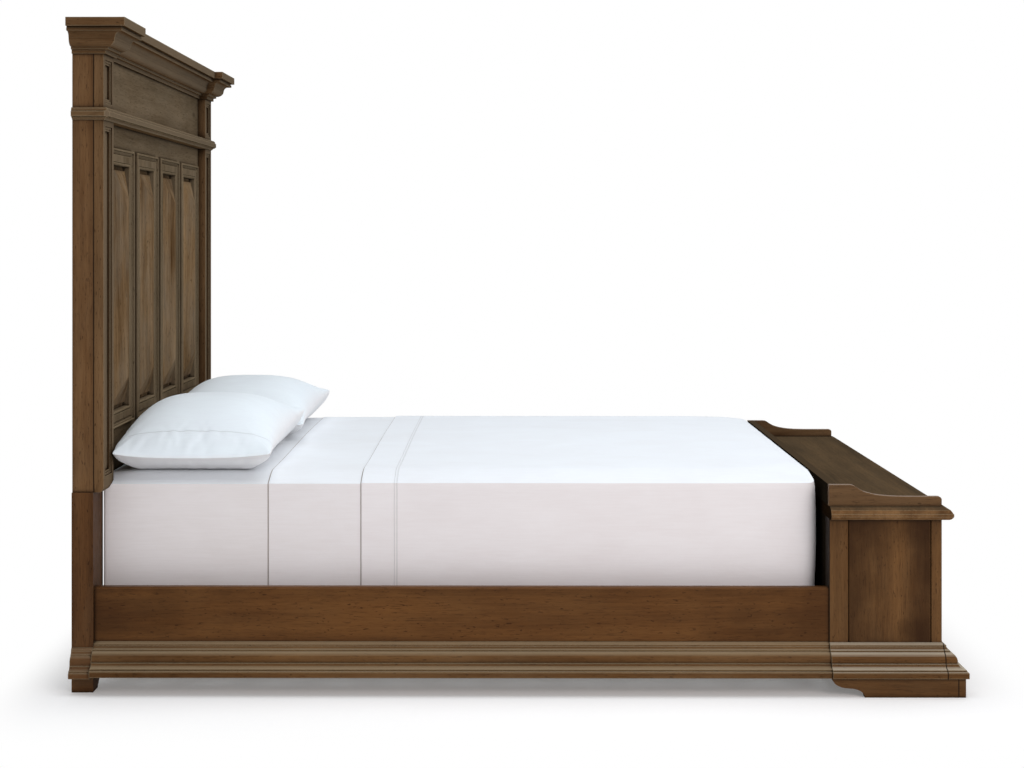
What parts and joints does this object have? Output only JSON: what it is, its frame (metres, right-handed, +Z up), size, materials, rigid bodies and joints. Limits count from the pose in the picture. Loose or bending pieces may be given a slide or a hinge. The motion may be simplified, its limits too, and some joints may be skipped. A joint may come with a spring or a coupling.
{
  "type": "storage bed",
  "caption": "Wooden storage bed with a tall panelled headboard and a bench footboard with drawers, made up with mattress, sheets and pillows.",
  "frame": {"origin": "on the floor at the middle of the bed's bounding box", "axes": "+X from the headboard to the foot, +Y towards the bed's right side as seen from the foot, +Z up"},
  "size_m": [2.494, 1.872, 1.88],
  "materials": {
    "stained_wood": "satin, brown stain with a dark glaze",
    "hidden_wood": "bare softwood and plywood",
    "drawer_wood": "clear lacquer",
    "steel": "zinc plated",
    "old_brass": "dark antique brass",
    "glide_plastic": "matte",
    "ticking": "woven ticking",
    "sheet_cotton": "smooth cotton",
    "pillow_cotton": "smooth cotton"
  },
  "bodies": {
    "frame": {"posts": "stained_wood", "legs": "stained_wood", "leg_feet": "stained_wood", "leg_mouldings": "stained_wood", "pilasters": "stained_wood", "head_rails": "stained_wood", "head_stiles": "stained_wood", "panels": "stained_wood", "panel_mouldings": "stained_wood", "frieze": "stained_wood", "mid_moulding": "stained_wood", "cornice": "stained_wood", "cornice_blocks": "stained_wood", "cap_board": "stained_wood", "head_back": "hidden_wood", "stretcher": "hidden_wood", "side_rails": "stained_wood", "rail_mouldings": "stained_wood", "cleats": "hidden_wood", "hook_plates": "steel", "hook_sockets": "steel", "slats": "hidden_wood", "slat_screws": "steel", "centre_rail": "hidden_wood", "centre_hangers": "steel", "centre_legs": "hidden_wood", "glides": "glide_plastic", "bench_posts": "stained_wood", "bench_sides": "stained_wood", "bench_back": "stained_wood", "bench_bottom": "hidden_wood", "divider": "hidden_wood", "face_frame": "stained_wood", "runner_blocks": "hidden_wood", "bench_top": "stained_wood", "galleries": "stained_wood", "bench_mouldings": "stained_wood", "bracket_feet": "stained_wood", "slide_outers": "steel", "foundation": "ticking", "mattress": "ticking", "flat_sheet": "sheet_cotton", "top_sheet": "sheet_cotton", "pillows": "pillow_cotton"},
    "drawer_left": {"slide_inner_left": "steel", "drawer_front_left": "stained_wood", "drawer_box_left": "drawer_wood", "drawer_bottom_left": "drawer_wood", "pulls_left": "old_brass"},
    "slide_left": {"slide_mid_left": "steel"},
    "bail_left_1": {"bail_left_1": "old_brass"},
    "bail_left_2": {"bail_left_2": "old_brass"},
    "drawer_right": {"slide_inner_right": "steel", "drawer_front_right": "stained_wood", "drawer_box_right": "drawer_wood", "drawer_bottom_right": "drawer_wood", "pulls_right": "old_brass"},
    "slide_right": {"slide_mid_right": "steel"},
    "bail_right_1": {"bail_right_1": "old_brass"},
    "bail_right_2": {"bail_right_2": "old_brass"}
  },
  "joints": [
    {"name": "drawer_left_slide", "type": "slide", "parent": "frame", "child": "drawer_left", "axis": [1, 0, 0], "range_m": [0, 0.2]},
    {"name": "slide_left_run", "type": "slide", "parent": "frame", "child": "slide_left", "axis": [1, 0, 0], "range_m": [0, 0.1]},
    {"name": "bail_left_1_swing", "type": "hinge", "parent": "drawer_left", "child": "bail_left_1", "pos_m": [1.197, -0.22, 0.305], "axis": [0, -1, 0], "range_deg": [0, 80]},
    {"name": "bail_left_2_swing", "type": "hinge", "parent": "drawer_left", "child": "bail_left_2", "pos_m": [1.197, -0.6, 0.305], "axis": [0, -1, 0], "range_deg": [0, 80]},
    {"name": "drawer_right_slide", "type": "slide", "parent": "frame", "child": "drawer_right", "axis": [1, 0, 0], "range_m": [0, 0.2]},
    {"name": "slide_right_run", "type": "slide", "parent": "frame", "child": "slide_right", "axis": [1, 0, 0], "range_m": [0, 0.1]},
    {"name": "bail_right_1_swing", "type": "hinge", "parent": "drawer_right", "child": "bail_right_1", "pos_m": [1.197, 0.22, 0.305], "axis": [0, -1, 0], "range_deg": [0, 80]},
    {"name": "bail_right_2_swing", "type": "hinge", "parent": "drawer_right", "child": "bail_right_2", "pos_m": [1.197, 0.6, 0.305], "axis": [0, -1, 0], "range_deg": [0, 80]}
  ],
  "couplings": [
    {"joint": "slide_left_run", "follows": "drawer_left_slide", "ratio": 0.5},
    {"joint": "slide_right_run", "follows": "drawer_right_slide", "ratio": 0.5}
  ]
}
